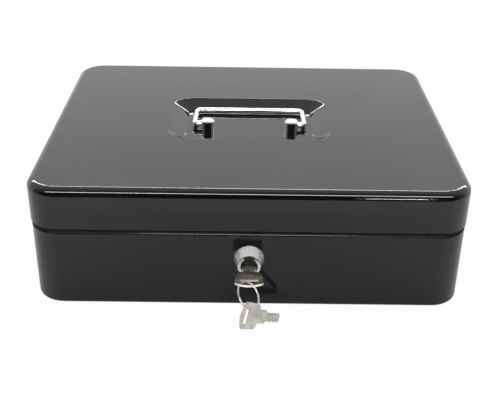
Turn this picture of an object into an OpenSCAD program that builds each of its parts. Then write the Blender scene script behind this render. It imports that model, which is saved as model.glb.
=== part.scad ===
// Steel cash box with a recessed folding handle, a cam lock, a lift-out coin tray,
// and two keys on a ring. Millimetres. The origin is the middle of the base's
// underside, +Z is up and the lock faces -Y.

/* [Box] */
// Width of the lid over its side walls
box_w = 300; // [270:1:330]
// Depth of the lid, front to back
box_d = 245; // [225:1:275]
// Height of the closed box
box_h = 90; // [86:1:110]
// Radius of the lid's upright corners, outside
corner_r = 21; // [17:0.5:26]
// Thickness of the steel sheet
sheet_t = 1; // [0.8:0.1:1.2]
// Radius of the lid's top edge, outside
lid_edge_r = 5.5; // [4:0.5:7]
// Radius of the base's bottom edge, outside
base_edge_r = 3.2; // [2.4:0.2:5]

/* [Seam] */
// Height of the lid's skirt, from its lower edge to its top
skirt_h = 29.6; // [27:0.2:32]
// How far the base's walls stand back from the lid's
base_inset = 0.6; // [0.2:0.1:0.8]
// Open gap between the lid's lower edge and the base's shoulder
seam_gap = 2.6; // [1.5:0.1:4]
// Height of the upright lip above the shoulder
lip_h = 8.2; // [6:0.2:9]
// Clearance between the lip and the lid's inner face
lip_clear = 0.4; // [0.3:0.05:0.6]

/* [Handle recess] */
// Width of the recess at the lid's top
recess_w = 123; // [118:1:140]
// Depth of the recess front to back at the lid's top
recess_d = 80.6; // [78:0.2:100]
// Distance of the recess's middle behind the box's middle
recess_back = 2; // [0:0.5:2.5]
// How far the recess is pressed down
recess_depth = 7.4; // [7.2:0.2:8.8]
// Run of the recess's sloping walls
recess_run = 13.2; // [12.4:0.2:14.4]
// Radius of the recess's corners at the lid's top
recess_corner_r = 16; // [15.5:0.5:18]
// Radius of the bends around the recess, on the upper face
recess_bend_r = 2.5; // [1.5:0.1:3]
// Number of short flats in each of those bends
bend_flats = 5; // [3:1:8]

/* [Handle] */
// Distance between the two handle posts
post_span = 65; // [60:1:72]
// Distance of the posts in front of the box's middle
post_front = 2.9; // [0:0.1:4]
// Diameter of a handle post
post_d = 10; // [9:0.5:12]
// Height of a handle post above the recess floor
post_h = 7.4; // [7.2:0.2:8.8]
// Diameter of the handle's wire
bail_d = 4.5; // [4:0.1:5]
// Distance between the handle's two legs
bail_span = 85; // [82:1:88]
// Distance from the handle's pivot to its grip bar
bail_reach = 30.4; // [28:0.2:30.6]
// Radius of the handle's bends on its centre line
bail_bend_r = 5; // [4:0.5:8]
// Height of the handle's pivot above the recess floor
pivot_up = 3.8; // [3.5:0.1:4.6]
// Height of the grip bar above the recess floor when it lies flat
bar_up = 2.7; // [2.5:0.1:3]
// Diameter of the post's threaded shank
shank_d = 5; // [4:0.5:6]

/* [Hinges] */
// Distance between the middles of the two hinges
hinge_span = 170; // [130:5:200]
// Length of a hinge
hinge_len = 42; // [36:1:50]
// Diameter of a hinge pin
hinge_pin_d = 2.4; // [2:0.1:2.8]
// Thickness of a hinge leaf
leaf_t = 1.2; // [1:0.1:1.4]
// Height of the base leaf below the pin
leaf_h = 15; // [14:0.5:20]
// Diameter of the rivets' shanks
rivet_d = 3; // [2.5:0.1:3.5]
// Widest angle at which the lid's stop tail meets the base leaf
lid_open = 100; // [90:1:110]

/* [Lock] */
// Sideways place of the lock
lock_x = 0.4; // [-2:0.1:2]
// Distance of the lock's axis below the lid's lower edge
lock_drop = 21.9; // [20.5:0.1:25]
// Diameter of the bezel where it meets the base
bezel_d = 20.5; // [19.5:0.5:24]
// Diameter of the bezel's face
bezel_face_d = 15.5; // [15:0.25:17]
// How far the bezel stands out
bezel_out = 10; // [8:0.5:12]
// Diameter of the threaded barrel behind the bezel
barrel_d = 16; // [14.5:0.5:17]
// Distance across the barrel's two flats
barrel_flats = 14; // [13.5:0.25:14.5]
// Length of the barrel behind the bezel
barrel_len = 14; // [12:0.5:18]
// Diameter of the turning plug
plug_d = 10; // [9.5:0.25:10.5]
// Width of the cam's arm
cam_w = 10; // [9:0.5:12]
// Length of the cam's arm from the lock's axis
cam_reach = 24; // [20:0.5:24]
// Thickness of the cam
cam_t = 1.8; // [1.5:0.1:2.2]

/* [Keys] */
// Width of a key's bow
bow_w = 19.4; // [18:0.2:22]
// Length of a key's bow, from its end to its shoulder
bow_len = 16; // [15:0.5:18]
// Length of a key's neck, from its bow to its stop
neck_len = 7; // [5:0.5:8]
// Width of a key's neck
neck_w = 9; // [8:0.25:9.5]
// Length of a key's blade beyond its stop
blade_len = 14; // [12:0.5:15]
// Width of a key's blade
blade_w = 6; // [5.5:0.1:6.4]
// Thickness of a key
key_t = 1.5; // [1.2:0.1:1.6]
// Width of the slot for the ring
ring_slot_w = 3.9; // [3.8:0.1:4.2]
// Length of the slot for the ring
ring_slot_len = 12; // [12:0.5:13]
// Radius of the key ring on its wire's middle
ring_r = 9.5; // [9.2:0.1:10]
// Diameter of the key ring's wire
ring_wire_d = 1.2; // [1:0.1:1.3]

/* [Coin tray] */
// Width of the tray
tray_w = 291; // [255:1:292]
// Depth of the tray, front to back
tray_d = 196; // [160:1:198]
// Height of the tray
tray_h = 30; // [24:1:30]
// Height of the ledges that carry the tray
ledge_z = 34; // [30:1:36]
// Thickness of the tray's walls
tray_t = 2; // [1.6:0.1:2.5]
// Depth of the row of coin cups, front to back
cup_d = 78; // [60:1:85]
// Radius at the foot of a coin cup
cup_r = 16; // [10:1:18]
// Number of coin cups
cups = 6; // [4:1:8]
// Number of note bays behind the cups
bays = 3; // [2:1:4]

/* [Hidden] */
$fn = 96;
eps = 0.5; // how far a cutting shape runs past what it cuts
run_fit = 0.05; // radial clearance of a turning fit
bolt_fit = 0.1; // radial clearance of a fixed shank in its hole

// Base section, measured outward from the corner centres
base_r = corner_r - base_inset;
core_w = box_w - 2 * corner_r;
core_d = box_d - 2 * corner_r;
seam_z = box_h - skirt_h;
shoulder_z = seam_z - seam_gap;
lip_r = corner_r - sheet_t - lip_clear;
lip_top = shoulder_z + lip_h;
joggle_in = base_r - lip_r;
joggle_cos = 0.6; // the shoulder's two bends meet on a 3-4-5 slope
joggle_sin = 0.8;
joggle_angle = acos(joggle_cos);
joggle_foot_r = 0.4; // radius of the bend at the foot of the lip, outside
joggle_span = joggle_in / (1 - joggle_cos); // between the two bends' centres
joggle_r = joggle_span - joggle_foot_r; // outer radius of the shoulder's bend
wall_top = shoulder_z - joggle_span * joggle_sin;

// Faces that other pieces sit on
base_front = -box_d / 2 + base_inset;
base_back = -base_front;
base_side = box_w / 2 - base_inset;
lid_front = -box_d / 2;
lid_back = box_d / 2;
recess_floor = box_h - recess_depth;

// Recess section, measured outward from its corner centres
recess_slope = atan(recess_depth / recess_run);
recess_foot_r = recess_corner_r - recess_run;
bend_tan = recess_bend_r * tan(recess_slope / 2);
recess_core_w = recess_w - 2 * recess_corner_r;
recess_core_d = recess_d - 2 * recess_corner_r;
recess_join_r = ceil(recess_corner_r + bend_tan) + 1;

// Handle
pivot_z = recess_floor + pivot_up;
bar_drop = pivot_up - bar_up;
fold_angle = asin(bar_drop / bail_reach);
stub_depth = 4; // how deep the handle's ends sit in the posts
stub_bend_r = 4; // bend between a leg and its end
post_chamfer = 0.8;
washer_t = 1;
nut_t = 4;
shank_len = sheet_t + washer_t + nut_t + 1;

// Hinges
knuckle_r = 2.2;
knuckle_gap = 0.4; // clearance round and between knuckles
hinge_y = lid_back + knuckle_r;
hinge_z = seam_z - 1.3;
lid_knuckle = hinge_len / 3;
leaf_side = 7; // from a rivet to the leaf's end, along the pin
leaf_rivet_x = hinge_len / 2 - leaf_side;
leaf_edge = 5; // from a rivet to the leaf's edge, away from the pin
rivet_head_r = 2.8;
rivet_head_t = 1.5;
rivet_tail_r = 2.5;
rivet_tail_t = 1;
base_rivet_z = hinge_z - leaf_h + leaf_edge;
lip_room = 1.2; // between the lip's top and the lid's rivets
lid_rivet_z = lip_top + rivet_tail_r + lip_room;
stop_len = 3.9; // reach of the stop tail from the pin
stop_t = 1;
stop_w = 8;
stop_gap = 0.1; // left between the tail and the base leaf when the lid is open
stop_reach = hinge_y - base_back - leaf_t - stop_gap;
stop_angle = 180 + atan(stop_t / 2 / stop_len) + acos(stop_reach / norm([stop_len, stop_t / 2]));

// Lock
lock_z = seam_z - lock_drop;
lock_face = base_front - bezel_out;
barrel_back = base_front + barrel_len;
plug_head_d = plug_d + 1.6;
plug_head_t = 1.6;
plug_sunk = 0.5; // how far the plug's face lies behind the bezel's
plug_square = 6;
lock_nut_t = 4;
lock_washer_t = 0.8;
lock_washer_d = barrel_d + 4;
keyway_clear = 0.2;
wafer_t = 0.9;
wafer_h = 6.4;
wafer_clear = 0.05;
wafer_pitch = 2.4;
wafer_count = 5;
wafer_top = bezel_out - plug_sunk - plug_head_t - 1;
cam_seat_gap = 0.2; // between the barrel's back and the cam
cam_pinch = 0.1; // how far the plug's square end stops short of the cam's back
cam_hub_d = cam_w + 4;
screw_d = 3.8;
screw_head_d = 7.5;
screw_head_t = 2.2;
screw_len = 7;

// Catch on the lid
catch_t = 1.5;
catch_w = 14;
catch_side = 20; // from the lock's axis to the middle of the catch
catch_x = lock_x + catch_side;
catch_gap = 0.5; // between the turned cam and the catch's foot
catch_flange = 12;
catch_in = 4; // how far the catch's drop stands inside the lid's front
catch_past = 4; // how far the foot reaches past the cam

// Keys: the bow's end is the arc that faces the user
bow_arc_r = 16;
bow_corner = bow_len - 1.8; // where the bow's sides turn in to the shoulder
bow_side_in = 1; // how much narrower each side of the bow is there
shoulder_w = 12.6;
ring_slot_in = 2.7; // web between the bow's end and the ring's slot
key_stop_gap = 0.3;
key_len = bow_len + neck_len + blade_len;
key_end_y = lock_face - key_stop_gap - bow_len - neck_len;
cuts_up = [0.6, 1.2, 0.4, 1, 0.7];
cuts_down = [1, 0.5, 0.9, 0.4, 1.1];
groove_w = 1.2;
groove_deep = 0.35;

// Key ring: hangs on the web between the first key's slot and its end
ring_turn = 45;
ring_lean = 8;
ring_rise = 0.9; // gap between the ring's top and the web under it
ring_top = lock_z + key_t / 2 + ring_wire_d / 2 + ring_rise;
ring_x = lock_x - 0.4;
ring_y = key_end_y + ring_slot_in / 2;
ring_foot = [
    ring_x,
    ring_y - 2 * ring_r * sin(ring_lean),
    ring_top - 2 * ring_r * cos(ring_lean)
];

// Spare key: hangs by its slot from the foot of the ring
spare_turn = 39; // how far its blade points back from +X
spare_dip = 27.5; // how far its blade points down
spare_roll = 9; // how far its face leans
spare_hold = [ring_slot_in + ring_slot_w / 2, ring_slot_len / 2 - 1.1];

// Coin tray
tray_y = 8;
tray_floor_t = 2;
bay_r = 4;
rib_t = 1.6;
grip_r = 12;
grip_in = 6;
ledge_t = 1;
ledge_under = 5.1; // how far a ledge reaches under the tray
ledge_w = base_side - sheet_t - tray_w / 2 + ledge_under;
ledge_leg = 12;
ledge_len = 180;

// ---------- shapes that repeat ----------

// Quarter, or any part under 180 degrees, of a flat ring, from angle a to angle b
module arc_band(inner, outer, a, b) {
    reach = 2 * outer;
    difference() {
        intersection() {
            circle(r = outer);
            polygon([
                [0, 0],
                [reach * cos(a), reach * sin(a)],
                [reach * cos((a + b) / 2) / cos((b - a) / 4), reach * sin((a + b) / 2) / cos((b - a) / 4)],
                [reach * cos(b), reach * sin(b)]
            ]);
        }
        if (inner > 0) circle(r = inner);
    }
}

// Rounded rectangle with true arcs
module round_rect(w, d, r) {
    square([w - 2 * r, d], center = true);
    square([w, d - 2 * r], center = true);
    for (x = [-1, 1], y = [-1, 1]) translate([x * (w / 2 - r), y * (d / 2 - r)]) circle(r = r);
}

// Carries a section round a rounded rectangle, whose corner centres are w and d apart.
// The section's x runs outward from those centres.
module carry_round(w, d) {
    for (i = [0:3]) {
        sx = (i == 0 || i == 3) ? 1 : -1;
        sy = i < 2 ? 1 : -1;
        translate([sx * w / 2, sy * d / 2, 0]) rotate([0, 0, 90 * i]) rotate_extrude(angle = 90) children();
    }
    for (s = [0, 180]) rotate([0, 0, s]) {
        translate([w / 2, d / 2, 0]) rotate([90, 0, 0]) linear_extrude(d) children();
        translate([-w / 2, d / 2, 0]) rotate([90, 0, 90]) linear_extrude(w) children();
    }
}

// Cylinder along X or Y with its middle at the origin
module rod_x(d, len) {
    rotate([0, 90, 0]) cylinder(d = d, h = len, center = true);
}
module rod_y(d, len) {
    rotate([90, 0, 0]) cylinder(d = d, h = len, center = true);
}

// Six-sided nut along Z, from z = 0 up
module hex_nut(af, bore, t) {
    difference() {
        cylinder(d = af / cos(30), h = t, $fn = 6);
        translate([0, 0, -eps]) cylinder(d = bore, h = t + 2 * eps);
    }
}

module washer(outer, bore, t) {
    difference() {
        cylinder(d = outer, h = t);
        translate([0, 0, -eps]) cylinder(d = bore, h = t + 2 * eps);
    }
}

// ---------- box ----------

module base_section() {
    foot = base_r - base_edge_r;
    bend = base_r - joggle_r;
    lip_foot_x = bend + joggle_span * joggle_cos;
    square([foot, sheet_t]);
    translate([foot, base_edge_r]) arc_band(base_edge_r - sheet_t, base_edge_r, -90, 0);
    translate([base_r - sheet_t, base_edge_r]) square([sheet_t, wall_top - base_edge_r]);
    translate([bend, wall_top]) arc_band(joggle_r - sheet_t, joggle_r, 0, joggle_angle);
    translate([lip_foot_x, shoulder_z]) arc_band(joggle_foot_r, joggle_foot_r + sheet_t, 180, 180 + joggle_angle);
    translate([lip_r - sheet_t, shoulder_z]) square([sheet_t, lip_h]);
}

module lock_hole() {
    translate([lock_x, base_front + sheet_t / 2, lock_z]) rotate([90, 0, 0])
        linear_extrude(sheet_t + 2 * eps, center = true) intersection() {
            circle(d = barrel_d + 2 * bolt_fit);
            square([barrel_flats + 2 * bolt_fit, barrel_d + 2], center = true);
        }
}

module rivet_holes(y, z, t) {
    for (h = [-1, 1], s = [-1, 1])
        translate([h * hinge_span / 2 + s * leaf_rivet_x, y, z]) rod_y(rivet_d + 2 * bolt_fit, t);
}

module base_shell() {
    color("#26262a") difference() {
        union() {
            translate([-core_w / 2, -core_d / 2, 0]) cube([core_w, core_d, sheet_t]);
            carry_round(core_w, core_d) base_section();
        }
        lock_hole();
        rivet_holes(base_back - sheet_t / 2, base_rivet_z, sheet_t + 2 * eps);
    }
}

module lid_section() {
    bend = corner_r - lid_edge_r;
    translate([0, box_h - sheet_t]) square([bend, sheet_t]);
    translate([bend, box_h - lid_edge_r]) arc_band(lid_edge_r - sheet_t, lid_edge_r, 0, 90);
    translate([corner_r - sheet_t, seam_z]) square([sheet_t, skirt_h - lid_edge_r]);
}

// Points along a bend of the recess, which is pressed as a few short flats
function bend_points(middle, r, a, b) =
    [for (i = [0:bend_flats]) middle + r * [cos(a + (b - a) * i / bend_flats), sin(a + (b - a) * i / bend_flats)]];

// From the recess's floor up its sloping wall and out on to the lid's top, which is at 0
module recess_section() {
    low = [recess_foot_r - bend_tan, recess_bend_r - recess_depth];
    high = [recess_corner_r + bend_tan, -recess_bend_r];
    polygon(concat(
        [[0, -recess_depth]],
        bend_points(low, recess_bend_r, -90, recess_slope - 90),
        bend_points(high, recess_bend_r, 90 + recess_slope, 90),
        [[recess_join_r, 0], [recess_join_r, -sheet_t]],
        bend_points(high, recess_bend_r - sheet_t, 90, 90 + recess_slope),
        bend_points(low, recess_bend_r + sheet_t, recess_slope - 90, -90),
        [[0, -recess_depth - sheet_t]]
    ));
}

module lid_shell() {
    color("#26262a") difference() {
        union() {
            carry_round(core_w, core_d) lid_section();
            translate([0, 0, box_h - sheet_t]) linear_extrude(sheet_t) difference() {
                square([core_w, core_d], center = true);
                translate([0, recess_back]) round_rect(
                    recess_core_w + 2 * recess_join_r, recess_core_d + 2 * recess_join_r, recess_join_r
                );
            }
            translate([0, recess_back, box_h]) {
                carry_round(recess_core_w, recess_core_d) recess_section();
                translate([-recess_core_w / 2, -recess_core_d / 2, -recess_depth - sheet_t])
                    cube([recess_core_w, recess_core_d, sheet_t]);
            }
        }
        rivet_holes(lid_back - sheet_t / 2, lid_rivet_z, sheet_t + 2 * eps);
        for (s = [-1, 1]) translate([s * post_span / 2, -post_front, recess_floor - sheet_t - eps])
            cylinder(d = shank_d + 2 * bolt_fit, h = sheet_t + 2 * eps);
    }
}

// ---------- hinges ----------

// Leaf on the base: a plate on the back wall with a knuckle at each end
module base_hinge_leaf(side) {
    end_len = (hinge_len - lid_knuckle) / 2 - knuckle_gap;
    color("#303034") translate([side * hinge_span / 2, 0, 0]) difference() {
        union() {
            translate([-hinge_len / 2, base_back, hinge_z - leaf_h]) cube([hinge_len, leaf_t, leaf_h]);
            for (s = [-1, 1]) translate([s * (hinge_len - end_len) / 2, hinge_y, hinge_z])
                rod_x(2 * knuckle_r, end_len);
        }
        translate([0, hinge_y, hinge_z]) {
            rod_x(2 * (knuckle_r + knuckle_gap), lid_knuckle + 2 * knuckle_gap);
            rod_x(hinge_pin_d + 2 * run_fit, hinge_len + 2 * eps);
        }
        for (s = [-1, 1]) translate([s * leaf_rivet_x, base_back + leaf_t / 2, base_rivet_z])
            rod_y(rivet_d + 2 * bolt_fit, leaf_t + 2 * eps);
    }
}

// Leaf on the lid: one knuckle in the middle, with a tail that stops the open lid
module lid_hinge_leaf(side) {
    cut_len = (hinge_len - lid_knuckle) / 2 + eps;
    color("#303034") translate([side * hinge_span / 2, 0, 0]) difference() {
        union() {
            translate([-hinge_len / 2, lid_back, hinge_z])
                cube([hinge_len, leaf_t, lid_rivet_z + leaf_edge - hinge_z]);
            translate([0, hinge_y, hinge_z]) {
                rod_x(2 * knuckle_r, lid_knuckle);
                rotate([stop_angle + lid_open, 0, 0]) translate([-stop_w / 2, 0, -stop_t / 2])
                    cube([stop_w, stop_len, stop_t]);
            }
        }
        translate([0, hinge_y, hinge_z]) {
            for (s = [-1, 1]) translate([s * (lid_knuckle + cut_len) / 2, 0, 0])
                rod_x(2 * (knuckle_r + knuckle_gap), cut_len);
            rod_x(hinge_pin_d + 2 * run_fit, hinge_len + 2 * eps);
        }
        for (s = [-1, 1]) translate([s * leaf_rivet_x, lid_back + leaf_t / 2, lid_rivet_z])
            rod_y(rivet_d + 2 * bolt_fit, leaf_t + 2 * eps);
    }
}

module hinge_pin(side) {
    color("silver") translate([side * hinge_span / 2, hinge_y, hinge_z]) rod_x(hinge_pin_d, hinge_len);
}

// Rivet through a leaf and a wall, with its head's seat at z = 0 and its tail below
module rivet() {
    grip = leaf_t + sheet_t;
    dome_r = (pow(rivet_head_r, 2) + pow(rivet_head_t, 2)) / (2 * rivet_head_t);
    translate([0, 0, -grip - rivet_tail_t]) cylinder(r = rivet_tail_r, h = rivet_tail_t);
    translate([0, 0, -grip]) cylinder(d = rivet_d, h = grip);
    intersection() {
        translate([0, 0, rivet_head_t - dome_r]) sphere(r = dome_r);
        cylinder(r = rivet_head_r + eps, h = rivet_head_t + eps);
    }
}

module hinge_rivets(face, z) {
    color("silver") for (h = [-1, 1], s = [-1, 1])
        translate([h * hinge_span / 2 + s * leaf_rivet_x, face, z]) rotate([-90, 0, 0]) rivet();
}

// ---------- handle ----------

// Bent wire: two ends that turn in the posts, two legs and a grip bar
module handle_bail() {
    leg_x = bail_span / 2;
    stub_start = post_span / 2 + post_d / 2 - stub_depth;
    stub_end = leg_x - stub_bend_r;
    leg_len = bail_reach - stub_bend_r - bail_bend_r;
    color("gainsboro") translate([0, -post_front, pivot_z]) rotate([-fold_angle, 0, 0]) {
        for (m = [0, 1]) mirror([m, 0, 0]) {
            translate([(stub_start + stub_end) / 2, 0, 0]) rod_x(bail_d, stub_end - stub_start);
            translate([stub_end, stub_bend_r, 0]) rotate([0, 0, -90])
                rotate_extrude(angle = 90) translate([stub_bend_r, 0]) circle(d = bail_d);
            translate([leg_x, stub_bend_r + leg_len / 2, 0]) rod_y(bail_d, leg_len);
            translate([leg_x - bail_bend_r, bail_reach - bail_bend_r, 0])
                rotate_extrude(angle = 90) translate([bail_bend_r, 0]) circle(d = bail_d);
        }
        translate([0, bail_reach, 0]) rod_x(bail_d, bail_span - 2 * bail_bend_r);
    }
}

// Post with a blind hole for the handle and a threaded shank through the lid
module handle_post(side) {
    color("gainsboro") translate([side * post_span / 2, -post_front, recess_floor]) difference() {
        union() {
            cylinder(d = post_d, h = post_h - post_chamfer);
            translate([0, 0, post_h - post_chamfer])
                cylinder(d1 = post_d, d2 = post_d - 2 * post_chamfer, h = post_chamfer);
            translate([0, 0, -shank_len]) cylinder(d = shank_d, h = shank_len + eps);
        }
        translate([side * (post_d / 2 - stub_depth / 2), 0, pivot_up])
            rod_x(bail_d + 2 * run_fit, stub_depth + 2 * eps);
    }
}

module at_posts(z) {
    for (s = [-1, 1]) translate([s * post_span / 2, -post_front, z]) children();
}

module post_washers() {
    color("silver") at_posts(recess_floor - sheet_t - washer_t)
        washer(2 * shank_d, shank_d + 2 * bolt_fit, washer_t);
}

module post_nuts() {
    color("silver") at_posts(recess_floor - sheet_t - washer_t - nut_t)
        hex_nut(shank_d + 3, shank_d + 2 * run_fit, nut_t);
}

// ---------- lock ----------

// Frame of the lock: z = 0 on the base's front, +z out towards the user
module lock_frame() {
    translate([lock_x, base_front, lock_z]) rotate([90, 0, 0]) children();
}

module lock_barrel() {
    head_seat = bezel_out - plug_sunk - plug_head_t;
    color("silver") lock_frame() difference() {
        union() {
            cylinder(d1 = bezel_d, d2 = bezel_face_d, h = bezel_out);
            translate([0, 0, -barrel_len]) linear_extrude(barrel_len) intersection() {
                circle(d = barrel_d);
                square([barrel_flats, barrel_d + 2], center = true);
            }
        }
        translate([0, 0, -barrel_len - eps]) cylinder(d = plug_d + 2 * run_fit, h = barrel_len + bezel_out);
        translate([0, 0, head_seat]) cylinder(d = plug_head_d + 2 * run_fit, h = bezel_out);
    }
}

// Turning plug: head, keyway, slots for the wafers, and a square end for the cam
module lock_plug() {
    head_top = bezel_out - plug_sunk;
    body_end = -barrel_len - cam_seat_gap;
    key_tip = base_front - key_end_y - key_len;
    color("darkgray") lock_frame() difference() {
        union() {
            translate([0, 0, body_end]) cylinder(d = plug_d, h = head_top - body_end);
            translate([0, 0, head_top - plug_head_t]) cylinder(d = plug_head_d, h = plug_head_t);
            translate([-plug_square / 2, -plug_square / 2, body_end - cam_t + cam_pinch])
                cube([plug_square, plug_square, cam_t]);
        }
        translate([-blade_w / 2 - keyway_clear, -key_t / 2 - keyway_clear, key_tip - 1])
            cube([blade_w + 2 * keyway_clear, key_t + 2 * keyway_clear, head_top]
                + [0, 0, 1 - key_tip + eps]);
        for (i = [0:wafer_count - 1])
            translate([-plug_d, -wafer_h / 2 - wafer_clear, wafer_top - i * wafer_pitch - wafer_t - wafer_clear])
                cube([2 * plug_d, wafer_h + 2 * wafer_clear, wafer_t + 2 * wafer_clear]);
        translate([0, 0, body_end - cam_t]) cylinder(d = screw_d + 2 * run_fit, h = screw_len);
    }
}

// Wafer tumblers, drawn flush by the key: plates across the plug, with a window each
module lock_wafers() {
    color("goldenrod") lock_frame() for (i = [0:wafer_count - 1])
        translate([0, 0, wafer_top - i * wafer_pitch - wafer_t]) linear_extrude(wafer_t) difference() {
            intersection() {
                circle(d = plug_d - 0.1);
                square([plug_d, wafer_h], center = true);
            }
            square([blade_w + 2 * keyway_clear, key_t + 2 * keyway_clear], center = true);
        }
}

module lock_washer() {
    color("silver") lock_frame() translate([0, 0, -sheet_t - lock_washer_t])
        washer(lock_washer_d, barrel_d + 2 * bolt_fit, lock_washer_t);
}

module lock_nut() {
    color("silver") lock_frame() translate([0, 0, -sheet_t - lock_washer_t - lock_nut_t])
        hex_nut(barrel_d + 4, barrel_d + 2 * bolt_fit, lock_nut_t);
}

// Cam: hub on the plug's square end, arm up when the lock is open
module lock_cam() {
    color("silver") lock_frame() translate([0, 0, -barrel_len - cam_seat_gap - cam_t])
        linear_extrude(cam_t) difference() {
            union() {
                circle(d = cam_hub_d);
                translate([-cam_w / 2, 0]) square([cam_w, cam_reach]);
            }
            square(plug_square + 2 * bolt_fit, center = true);
        }
}

module cam_screw() {
    seat = -barrel_len - cam_seat_gap - cam_t;
    color("silver") lock_frame() {
        translate([0, 0, seat - screw_head_t]) difference() {
            cylinder(d = screw_head_d, h = screw_head_t);
            translate([-screw_head_d, -0.6, -eps]) cube([2 * screw_head_d, 1.2, 0.9 + eps]);
        }
        translate([0, 0, seat]) cylinder(d = screw_d, h = screw_len - 1);
    }
}

// Bent plate welded inside the lid's front; its foot lies under the turned cam
module catch_plate() {
    lid_inner = lid_front + sheet_t;
    foot_top = lock_z - cam_w / 2 - catch_gap;
    step_z = lip_top + 1;
    color("silver") translate([catch_x - catch_w / 2, 0, 0]) {
        translate([0, lid_inner, step_z]) cube([catch_w, catch_t, catch_flange]);
        translate([0, lid_inner, step_z]) cube([catch_w, catch_in + catch_t, catch_t]);
        translate([0, lid_inner + catch_in, foot_top - catch_t])
            cube([catch_w, catch_t, step_z + catch_t - foot_top + catch_t]);
        translate([0, lid_inner + catch_in, foot_top - catch_t])
            cube([catch_w, barrel_back + cam_t + catch_past - lid_inner - catch_in, catch_t]);
    }
}

// ---------- keys ----------

// Key lying flat: x runs from the bow's end to the blade's tip
module key_blank() {
    stop = bow_len + neck_len;
    half = blade_w / 2;
    linear_extrude(key_t, center = true) difference() {
        union() {
            intersection() {
                translate([bow_arc_r, 0]) circle(r = bow_arc_r);
                polygon([
                    [-1, -bow_w / 2], [bow_corner, bow_side_in - bow_w / 2], [bow_len, -shoulder_w / 2],
                    [bow_len, shoulder_w / 2], [bow_corner, bow_w / 2 - bow_side_in], [-1, bow_w / 2]
                ]);
            }
            translate([bow_len - 1, -neck_w / 2]) square([neck_len + 1, neck_w]);
            polygon([
                [stop - 1, -half], [key_len - 1.5, -half], [key_len, -half / 3],
                [key_len, half / 3], [key_len - 1.5, half], [stop - 1, half]
            ]);
        }
        translate([ring_slot_in + ring_slot_w / 2, 0]) square([ring_slot_w, ring_slot_len], center = true);
        for (i = [0:wafer_count - 1]) {
            x = stop + 2.2 + i * wafer_pitch;
            translate([x, half]) rotate(45) square(1.41 * cuts_up[i], center = true);
            translate([x, -half]) rotate(45) square(1.41 * cuts_down[i], center = true);
        }
    }
}

module key_body() {
    difference() {
        key_blank();
        for (s = [-1, 1]) translate([bow_len + neck_len - 2, -groove_w / 2, s * key_t / 2 - groove_deep])
            cube([blade_len + 2 + eps, groove_w, 2 * groove_deep]);
    }
}

module key_in_lock() {
    color("silver") translate([lock_x, key_end_y, lock_z]) rotate([0, 0, 90]) key_body();
}

module key_ring() {
    color("silver") translate([ring_x, ring_y, ring_top]) rotate([-ring_lean, 0, 0]) rotate([0, 0, -ring_turn])
        translate([0, 0, -ring_r]) rotate([90, 0, 0])
            rotate_extrude() translate([ring_r, 0]) circle(d = ring_wire_d);
}

module spare_key() {
    color("silver") translate(ring_foot) rotate([0, 0, spare_turn]) rotate([0, spare_dip, 0])
        rotate([90 - spare_roll, 0, 0]) translate([-spare_hold[0], -spare_hold[1], 0]) key_body();
}

// ---------- coin tray ----------

module tray_ledge(side) {
    wall = base_side - sheet_t;
    color("#303034") mirror([side < 0 ? 1 : 0, 0, 0]) translate([0, tray_y - ledge_len / 2, 0]) {
        translate([wall - ledge_t, 0, ledge_z - ledge_leg]) cube([ledge_t, ledge_len, ledge_leg]);
        translate([wall - ledge_w, 0, ledge_z - ledge_t]) cube([ledge_w, ledge_len, ledge_t]);
    }
}

// Pocket w wide along X and d deep along Y, rounded along its foot at the front and back
module pocket(w, d, h, r) {
    rotate([90, 0, 90]) linear_extrude(w) {
        translate([0, r]) square([d, h - r + eps]);
        translate([r, 0]) square([d - 2 * r, r]);
        for (y = [r, d - r]) translate([y, r]) circle(r = r);
    }
}

module pocket_row(count, y, d, r) {
    w = (tray_w - 2 * tray_t - (count - 1) * rib_t) / count;
    for (i = [0:count - 1])
        translate([-tray_w / 2 + tray_t + i * (w + rib_t), y, tray_floor_t])
            pocket(w, d, tray_h - tray_floor_t, r);
}

module coin_tray() {
    front = -tray_d / 2 + tray_t;
    bay_y = front + cup_d + tray_t;
    color("#3a3a3e") translate([0, tray_y, ledge_z]) difference() {
        linear_extrude(tray_h) round_rect(tray_w, tray_d, 2 * tray_t);
        pocket_row(cups, front, cup_d, cup_r);
        pocket_row(bays, bay_y, tray_d / 2 - tray_t - bay_y, bay_r);
        translate([0, bay_y + (tray_d / 2 - bay_y) / 2, tray_h + grip_r - grip_in])
            rod_x(2 * grip_r, tray_w + 2 * eps);
    }
}

base_shell();
lid_shell();
base_hinge_leaf(-1);  // base_hinge_leaf_left
base_hinge_leaf(1);  // base_hinge_leaf_right
lid_hinge_leaf(-1);  // lid_hinge_leaf_left
lid_hinge_leaf(1);  // lid_hinge_leaf_right
hinge_pin(-1);  // hinge_pin_left
hinge_pin(1);  // hinge_pin_right
hinge_rivets(base_back + leaf_t, base_rivet_z);  // base_hinge_rivets
hinge_rivets(lid_back + leaf_t, lid_rivet_z);  // lid_hinge_rivets
handle_bail();
handle_post(-1);  // handle_post_left
handle_post(1);  // handle_post_right
post_washers();
post_nuts();
lock_barrel();
lock_plug();
lock_wafers();
lock_washer();
lock_nut();
lock_cam();
cam_screw();
catch_plate();
key_in_lock();
key_ring();
spare_key();
tray_ledge(-1);  // tray_ledge_left
tray_ledge(1);  // tray_ledge_right
coin_tray();
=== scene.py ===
import math

import bpy
from mathutils import Matrix, Vector

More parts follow.
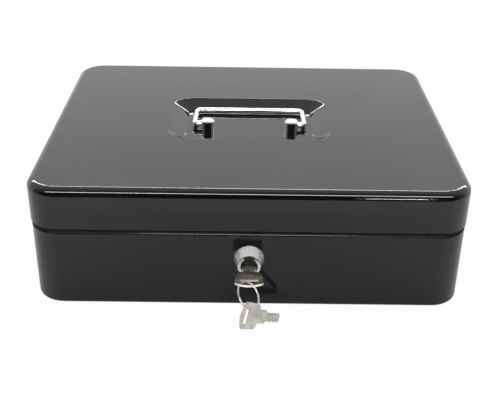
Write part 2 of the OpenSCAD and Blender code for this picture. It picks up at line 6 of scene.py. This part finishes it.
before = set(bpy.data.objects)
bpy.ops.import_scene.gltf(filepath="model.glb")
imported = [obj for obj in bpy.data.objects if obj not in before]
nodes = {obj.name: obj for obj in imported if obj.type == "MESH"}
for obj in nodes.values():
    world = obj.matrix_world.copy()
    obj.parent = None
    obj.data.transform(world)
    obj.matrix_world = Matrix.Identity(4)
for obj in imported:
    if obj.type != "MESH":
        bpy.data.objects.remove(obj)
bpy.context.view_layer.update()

# ---------------------------------------------------------------------------
# Camera: a portrait lens that looks down on the lid from in front of the
# lock, a little above the level of someone who sits at the desk.
eye = Vector((-0.0035, -0.6103, 0.3493))
yaw, pitch, roll = (math.radians(angle) for angle in (0.53, 28.5, 0.97))
ahead = Vector((
    math.sin(yaw) * math.cos(pitch),
    math.cos(yaw) * math.cos(pitch),
    -math.sin(pitch),
))
level = Vector((math.cos(yaw), -math.sin(yaw), 0))
upright = level.cross(ahead)
right = level * math.cos(roll) + upright * math.sin(roll)
up = upright * math.cos(roll) - level * math.sin(roll)
lens = bpy.data.cameras.new("desk_camera")
lens.sensor_width = 36
lens.lens = 60.73
camera = bpy.data.objects.new("desk_camera", lens)
turned = Matrix((right, up, -ahead)).transposed().to_4x4()
camera.matrix_world = Matrix.Translation(eye) @ turned
bpy.context.scene.collection.objects.link(camera)
bpy.context.scene.camera = camera
bpy.context.scene.view_settings.view_transform = "Standard"


# ---------------------------------------------------------------------------
# White sweep that the box stands on, and the pale room round it: a light wall
# behind the table, a white ceiling, and a wall behind the camera that is dim
# above and nearly black up to some 40 degrees above level.
class Socket:
    """An output of a shader node, so that shader maths reads as Python."""

    def __init__(self, tree, out=None):
        self.tree, self.out = tree, out

    def node(self, kind, settings=None, output=0, **values):
        """A new node: its settings first, then the values or links of its sockets."""
        made = self.tree.nodes.new("ShaderNode" + kind)
        for name, value in (settings or {}).items():
            setattr(made, name, value)
        for name, value in values.items():
            name = name.replace("_", " ")
            pick = int(name[3:]) if name.startswith("in ") else name
            if isinstance(value, Socket):
                self.tree.links.new(made.inputs[pick], value.out)
            else:
                made.inputs[pick].default_value = value
        return Socket(self.tree, made.outputs[output] if made.outputs else None)

    def maths(self, operation, *others):
        values = {f"in_{i}": value for i, value in enumerate((self, *others))}
        return self.node("Math", {"operation": operation}, **values)

    def __add__(self, other):
        return self.maths("ADD", other)

    def __sub__(self, other):
        return self.maths("SUBTRACT", other)

    def __rsub__(self, other):
        return self.node("Math", {"operation": "SUBTRACT"}, in_0=other, in_1=self)

    def __mul__(self, other):
        return self.maths("MULTIPLY", other)

    def away(self):
        """How far this value is from 0, to either side."""
        return self.maths("ABSOLUTE")

    def step(self, low, high, start=0.0, end=1.0):
        """Goes smoothly from start to end while this value goes from low to high."""
        return self.node(
            "MapRange", {"interpolation_type": "SMOOTHSTEP"},
            in_0=self, in_1=low, in_2=high, in_3=start, in_4=end,
        )

    def band(self, low, full_from, full_to, high):
        """1 from full_from to full_to, and 0 below low and above high."""
        return self.step(low, full_from) * self.step(full_to, high, 1, 0)

    def along(self, axis):
        """This place's or direction's measure along the X, Y or Z axis."""
        return self.node("SeparateXYZ", in_0=self, output="XYZ".index(axis))

    def noise(self, scale, detail, roughness):
        """Cloudy noise over this place."""
        return self.node("TexNoise", Vector=self, Scale=scale, Detail=detail, Roughness=roughness)

    def blend(self, start, end):
        """Goes from the colour start to the colour end while this value goes from 0 to 1."""
        start, end = (c if isinstance(c, Socket) else (*c, 1) for c in (start, end))
        return self.node("Mix", {"data_type": "RGBA"}, output=2, Factor=self, A=start, B=end)


def finish(name):
    """An empty material, and a Socket to build its nodes from."""
    made = bpy.data.materials.new(name)
    made.use_nodes = True
    made.node_tree.nodes.clear()
    return made, Socket(made.node_tree)


room = bpy.data.worlds.new("pale_room")
room.use_nodes = True
room.node_tree.nodes.clear()
sky = Socket(room.node_tree)
bpy.context.scene.world = room
back_wall, ceiling = 1.3, 0.95
front_share = 0.38   # the wall behind the camera, as a share of the ceiling's light
dark_shade, ground_shade = 0.93, 0.97   # how much light the dark wall and the ground take away
heading = sky.node("TexCoord", output=0)
up_way = heading.along("Z")
# Degrees round the room: 0 behind the box, 90 overhead, 180 towards the camera.
round_angle = up_way.maths("ARCTAN2", heading.along("Y")) * (180 / math.pi)
walls = round_angle.step(26, 44, back_wall, ceiling) * round_angle.step(80, 112, 1, front_share)
dark_wall = round_angle.step(136, 142) * heading.along("X").away().step(0.75, 0.98, 1, 0)
below = up_way.step(-0.02, 0.0, 1.0, 0.0)
glow = walls * (1 - dark_wall * dark_shade) * (1 - below * ground_shade)
seen = sky.node("LightPath", output=0)
light = seen + (1 - seen) * glow
sky.node("OutputWorld", Surface=sky.node("Background", Color=(1, 1, 1, 1), Strength=light))

half_wide, front_end, back_end = 6, -0.33, 7
sweep = bpy.data.meshes.new("sweep")
sweep.from_pydata(
    [
        (-half_wide, front_end, 0), (half_wide, front_end, 0),
        (half_wide, back_end, 0), (-half_wide, back_end, 0),
    ],
    [], [(0, 1, 2, 3)],
)
floor = bpy.data.objects.new("sweep", sweep)
bpy.context.scene.collection.objects.link(floor)
paper, sheet = finish("white_paper")
matt = sheet.node("BsdfDiffuse", Color=(0.62, 0.62, 0.62, 1))
white = sheet.node("Emission", Color=(1, 1, 1, 1), Strength=1.0)
bleached = sheet.node("LightPath", output=0) * 0.96   # the rest keeps the box's shadow
sheet.node("OutputMaterial", Surface=sheet.node("MixShader", in_0=bleached, in_1=matt, in_2=white))
sweep.materials.append(paper)

# ---------------------------------------------------------------------------
# Lamps: one long strip light behind the table, whose reflection runs along the
# lid's front edge, one over the camera, which gives the second thin line, and a
# small one far to the right, which gives the short dash below it.
lid_front = Vector((0, -0.12, 0.09))
for name, place, size, watts in (
    ("back_strip", (0, 2.3, 1.62), (5.0, 0.16), 60),
    ("front_strip", (0, -1.42, 1.47), (3.0, 0.16), 40),
    ("desk_lamp", (0.46, -2.1, 0.42), (0.2, 0.06), 3),
):
    lamp = bpy.data.lights.new(name, "AREA")
    lamp.shape, lamp.size, lamp.size_y, lamp.energy = "RECTANGLE", *size, watts
    lamp_object = bpy.data.objects.new(name, lamp)
    lamp_object.location = place
    towards_lid = (lid_front - Vector(place)).to_track_quat("-Z", "Y")
    lamp_object.rotation_euler = towards_lid.to_euler()
    bpy.context.scene.collection.objects.link(lamp_object)

# ---------------------------------------------------------------------------
# Base and lid shells, hinge leaves, rivets and the tray's ledges: pressed steel
# sheet under one sprayed and baked coat of gloss black enamel, which has a
# faint orange peel and a hazy wear along its sharp edges.
sharp_bend = math.radians(32)
smoothing = bpy.data.node_groups.new("smooth_bends", "GeometryNodeTree")
smoothing.is_modifier = True
for way in ("INPUT", "OUTPUT"):
    smoothing.interface.new_socket("Geometry", in_out=way, socket_type="NodeSocketGeometry")
shape_in = smoothing.nodes.new("NodeGroupInput")
shape_out = smoothing.nodes.new("NodeGroupOutput")
bend = smoothing.nodes.new("GeometryNodeInputMeshEdgeAngle")
gentle = smoothing.nodes.new("FunctionNodeCompare")
gentle.operation = "LESS_THAN"
gentle.inputs["B"].default_value = sharp_bend
joined = smoothing.nodes.new("GeometryNodeMergeByDistance")
joined.inputs["Distance"].default_value = 2e-6
faces, edges = (smoothing.nodes.new("GeometryNodeSetShadeSmooth") for _ in range(2))
edges.domain = "EDGE"
for start, end in (
    (shape_in.outputs[0], joined.inputs["Geometry"]),
    (joined.outputs[0], faces.inputs["Geometry"]),
    (faces.outputs[0], edges.inputs["Geometry"]),
    (edges.outputs[0], shape_out.inputs[0]),
    (bend.outputs["Unsigned Angle"], gentle.inputs["A"]),
    (gentle.outputs[0], edges.inputs["Shade Smooth"]),
):
    smoothing.links.new(start, end)


def dress(material, *names, ease=0.0):
    """Gives pieces a finish, bends that shade smoothly, and edges eased by so many metres."""
    for name in names:
        piece = nodes[name]
        piece.data.materials.clear()
        piece.data.materials.append(material)
        if ease:
            eased = piece.modifiers.new("eased_edges", "BEVEL")
            eased.width, eased.segments = ease, 2
            eased.limit_method, eased.angle_limit = "ANGLE", sharp_bend
        piece.modifiers.new("smooth_bends", "NODES").node_group = smoothing
        true = piece.modifiers.new("true_flats", "WEIGHTED_NORMAL")
        true.mode, true.keep_sharp = "FACE_AREA", True


def edges_of(tree, reach):
    """1 on edges that hands and cloths rub within reach metres, 0 on the flats between."""
    rounded = tree.node("Bevel", {"samples": 6}, Radius=reach)
    flat = tree.node("NewGeometry", output=1)
    likeness = tree.node(
        "VectorMath", {"operation": "DOT_PRODUCT"}, output=1, in_0=rounded, in_1=flat,
    )
    return (1 - likeness).step(0.015, 0.14)


enamel, coat = finish("black_enamel")
where = coat.node("TexCoord", output=3)
peel = where.noise(260.0, 2.0, 0.4)
wave = where.noise(38.0, 1.0, 0.4)
haze = where.noise(14.0, 4.0, 0.6)
grit = where.noise(900.0, 2.0, 0.6)
fibre = coat.node("Mapping", Vector=where, Scale=(1.0, 6.0, 1.0)).noise(420.0, 2.0, 0.5)
worn = edges_of(coat, 0.0006) * fibre.step(0.5, 0.66)
rough = haze.step(0.35, 0.75, 0.04, 0.07) + grit.step(0.66, 0.74) * 0.15 + worn * 0.2
ripple = coat.node("Bump", Strength=0.022, Distance=0.001, Height=peel + wave * 2)
black = haze.step(0.4, 0.7).blend((0.0022, 0.0022, 0.0024), (0.0036, 0.0036, 0.0039))
tint = worn.blend(black, (0.016, 0.016, 0.017))
gloss = coat.node("BsdfPrincipled", Base_Color=tint, Roughness=rough, Normal=ripple, IOR=1.5)
# A dark matte coat that paints shade where the masks below call for it.
shade_matte = coat.node("BsdfPrincipled", Base_Color=(0.004, 0.004, 0.004, 1), Roughness=0.75, IOR=1.2)
across, depth, height = (where.along(axis) for axis in "XYZ")
# Painted shade, which holds back glare: a dark matte coat mixed into the gloss in
# the seam's gap, on the shoulder towards the corners, on the wall just over the
# bezel as a painted dark reflection of it, and at the foot of the recess's back slope.
shoulder, skirt_end = 0.0578, 0.0605   # heights of the base's shoulder and the lid's lower edge
in_gap = height.band(shoulder, shoulder + 0.0002, skirt_end - 0.0002, skirt_end)
below_gap = height.band(shoulder - 0.0018, shoulder - 0.0012, skirt_end - 0.0002, skirt_end)
by_corners = below_gap * (across + 0.002).away().step(0.055, 0.085)
over_bezel = (
    height.band(0.0440, 0.0460, 0.0530, 0.0552)
    * (across + 0.0008).away().step(0.0086, 0.0108, 1, 0)
    * depth.step(-0.11, -0.10, 1, 0)
)
recess_foot = (
    height.band(0.0820, 0.0822, 0.0832, 0.0836)
    * depth.band(0.0268, 0.0274, 0.0312, 0.0318)
    * across.away().step(0.0510, 0.0520, 1, 0)
)
painted_shade = in_gap
for patch in (by_corners, over_bezel, recess_foot):
    painted_shade = painted_shade.maths("MAXIMUM", patch)
coat.node("OutputMaterial", Surface=coat.node("MixShader", in_0=painted_shade * 0.85, in_1=gloss, in_2=shade_matte))
dress(
    enamel, "base_shell", "lid_shell",
    "base_hinge_leaf_left", "base_hinge_leaf_right",
    "lid_hinge_leaf_left", "lid_hinge_leaf_right",
    "base_hinge_rivets", "lid_hinge_rivets", "tray_ledge_left", "tray_ledge_right",
)

# ---------------------------------------------------------------------------
# Handle: bright chrome on drawn steel wire, and on two turned posts that are
# held by washers and nuts under the lid.
chrome, plating = finish("bright_chrome")
smear = plating.node("TexCoord", output=3).noise(90.0, 3.0, 0.6)
shine = plating.node(
    "BsdfPrincipled", Base_Color=(0.86, 0.86, 0.87, 1), Metallic=1.0,
    Roughness=smear.step(0.3, 0.8, 0.04, 0.12),
)
plating.node("OutputMaterial", Surface=shine)
dress(chrome, "handle_bail", "handle_post_left", "handle_post_right")

# ---------------------------------------------------------------------------
# Lock barrel: satin chrome on die-cast zinc, clamped through the front wall.
# The bezel is turned, and its tool left fine lines that run up the cone. Its
# flat face has painted shade in a band beside the plug.
satin, plating = finish("satin_chrome")
lock_x, lock_z = 0.0004, 0.0385
where = plating.node("TexCoord", output=3)
out_x, out_z = where.along("X") - lock_x, where.along("Z") - lock_z
depth = where.along("Y")
turn = out_x.maths("ARCTAN2", out_z)
lines = plating.node("CombineXYZ", in_0=turn, in_1=depth * 8, in_2=0.0).noise(9.0, 3.0, 0.6)
pits = where.noise(500.0, 2.0, 0.5)
on_face = depth.step(-0.1319, -0.1312, 1, 0)
# Painted shade: near black on the flat face, in a band through the plug.
plug_shade = on_face * out_x.away().step(0.0028, 0.0052, 1, 0)
tint = lines.step(0.35, 0.65).blend((0.74, 0.74, 0.75), (0.9, 0.9, 0.91))
tint = plug_shade.blend(tint, (0.05, 0.05, 0.05))
# The fine steps that the tool left tilt the cone's gloss towards the front.
lean = plating.node("Bump", Strength=1.0, Distance=1.0, Height=(1 - on_face) * depth * 0.34)
score = plating.node(
    "Bump", Strength=0.2, Distance=0.0003, Height=lines + pits * 0.3, Normal=lean,
)
shine = plating.node(
    "BsdfPrincipled", Base_Color=tint, Metallic=1.0,
    Roughness=lines.step(0.3, 0.7, 0.2, 0.3), Normal=score,
)
plating.node("OutputMaterial", Surface=shine)
dress(satin, "lock_barrel", ease=0.0002)


# ---------------------------------------------------------------------------
# Plug, keys and ring: nickel on brass and steel, tumbled until the edges are
# soft, with a warm cast where it is worn. The key in the lock has the same
# nickel painted darker, which is painted shade, and a painted highlight on the
# faces at its held end that look to the front.
def nickel_plate(name, roughness, dark, pale, patch=160.0, reach=0.0006, front_highlight=0.0):
    """Plating that goes from dark to pale in patches, rubbed bare within reach of the edges, with a
    painted highlight, as strong as front_highlight, on faces that look to the front.
    """
    made, plate = finish(name)
    where = plate.node("TexCoord", output=3)
    smear = where.noise(patch, 4.0, 0.65)
    nicks = where.noise(900.0, 3.0, 0.6)
    edge = edges_of(plate, reach)
    # Painted highlight: faces that look to the front are made paler and less metallic, fully on the
    # key's held end and at 0.35 elsewhere.
    faces_front = plate.node("TexCoord", output=1).along("Y").step(-0.95, -0.75, front_highlight, 0.0)
    painted_highlight = faces_front * where.along("Y").step(-0.1525, -0.1515, 1, 0.35)
    tint = smear.step(0.38, 0.62).blend(dark, pale)
    tint = edge.blend(tint, (0.86, 0.84, 0.77))
    tint = painted_highlight.blend(tint, (1, 0.97, 0.88))
    pocks = plate.node("Bump", Strength=0.3, Distance=0.0002, Height=nicks + smear)
    rough = smear.step(0.3, 0.7, roughness, roughness + 0.14) * (1 - edge * 0.4)
    shine = plate.node(
        "BsdfPrincipled", Base_Color=tint, Metallic=1 - painted_highlight * 0.8,
        Roughness=rough, Normal=pocks,
    )
    plate.node("OutputMaterial", Surface=shine)
    return made


key_ease = 0.00018
# The key in the lock: its darker nickel is painted shade, and front_highlight paints a highlight on
# its front faces.
shaded_plate = nickel_plate("shaded_nickel", 0.34, (0.26, 0.25, 0.2), (0.42, 0.4, 0.33), front_highlight=1.0)
dress(shaded_plate, "key_in_lock", ease=key_ease)
spare = nickel_plate("fresh_nickel", 0.42, (0.66, 0.645, 0.56), (0.86, 0.84, 0.76))
dress(spare, "spare_key", ease=key_ease)
wire = nickel_plate("bright_nickel", 0.26, (0.7, 0.68, 0.61), (0.84, 0.82, 0.75))
dress(wire, "key_ring")
pitted = nickel_plate(
    "pitted_plug", 0.12, (0.006, 0.006, 0.005), (0.05, 0.048, 0.042), patch=1300.0, reach=0.0001,
)
dress(pitted, "lock_plug")

# ---------------------------------------------------------------------------
# Hinge pins, the handle's washers and nuts, and what sits behind the lock:
# washer, nut, cam, screw, wafers and the lid's catch plate. Zinc-plated steel,
# stamped or turned, with a cloudy sheen.
zinc, plate = finish("zinc_steel")
smear = plate.node("TexCoord", output=3).noise(200.0, 3.0, 0.6)
shine = plate.node(
    "BsdfPrincipled", Base_Color=(0.55, 0.55, 0.56, 1), Metallic=1.0,
    Roughness=smear.step(0.3, 0.8, 0.3, 0.5),
)
plate.node("OutputMaterial", Surface=shine)
dress(
    zinc, "hinge_pin_left", "hinge_pin_right", "post_washers", "post_nuts",
    "lock_washer", "lock_nut", "lock_cam", "cam_screw", "catch_plate", "lock_wafers",
)

# ---------------------------------------------------------------------------
# Coin tray: black plastic, moulded in one piece with its cups and note bays.
# The mould's fine grain keeps it dull, and it lies loose on the two ledges.
plastic, mould = finish("black_plastic")
grain = mould.node("TexCoord", output=3).noise(700.0, 2.0, 0.5)
pebble = mould.node("Bump", Strength=0.1, Distance=0.0005, Height=grain)
shine = mould.node(
    "BsdfPrincipled", Base_Color=(0.03, 0.03, 0.033, 1),
    Roughness=grain.step(0.3, 0.7, 0.4, 0.55), Normal=pebble,
)
mould.node("OutputMaterial", Surface=shine)
dress(plastic, "coin_tray")
